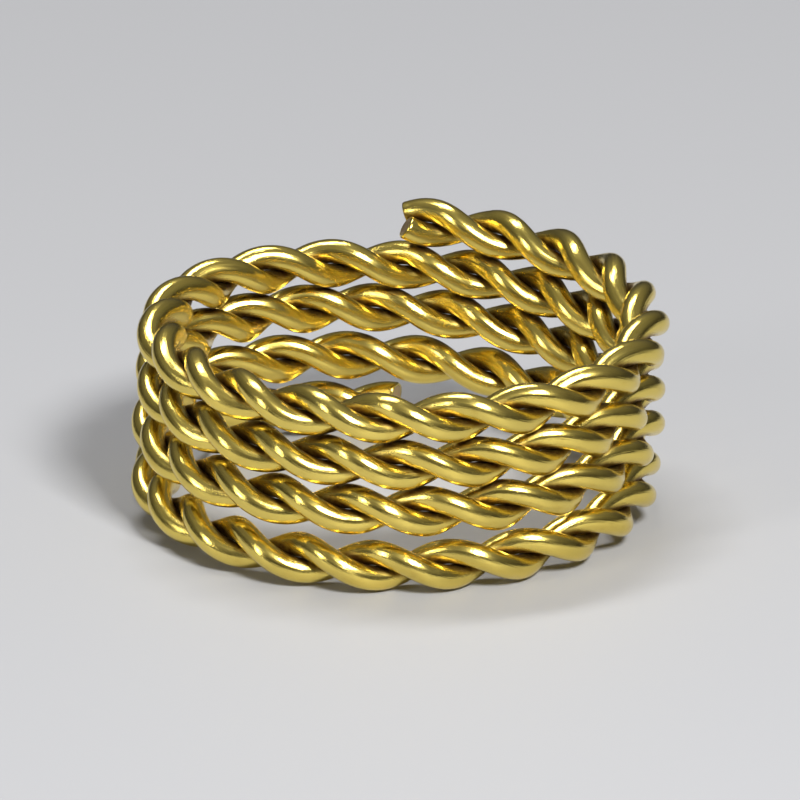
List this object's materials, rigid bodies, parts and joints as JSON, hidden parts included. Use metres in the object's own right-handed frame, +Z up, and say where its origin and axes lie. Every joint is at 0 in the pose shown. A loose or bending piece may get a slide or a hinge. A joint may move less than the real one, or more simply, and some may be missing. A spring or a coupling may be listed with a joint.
{
  "type": "braid hair ring",
  "caption": "Springy ring for a hair braid: gold-coloured round wires twisted into a rope and wound into a short close coil, open at its plain cut ends.",
  "frame": {"origin": "bottom centre of the ring's box, on the surface that the ring rests on", "axes": "+Z up, and the coil's axis leans from it by 2.7 degrees to -Y and 2.8 degrees to +X, as the coil rests by itself; +Y to the back, where the rope's two cut ends are; +X to the right of the front view"},
  "size_m": [0.0144, 0.0144, 0.0066],
  "materials": {
    "gold_plate": "brass wire with bright gold-coloured plating, browner in the grooves between the wires"
  },
  "bodies": {
    "root": {"wire_a_lower": "gold_plate", "wire_a_upper": "gold_plate", "wire_b_lower": "gold_plate", "wire_b_upper": "gold_plate"}
  },
  "joints": []
}
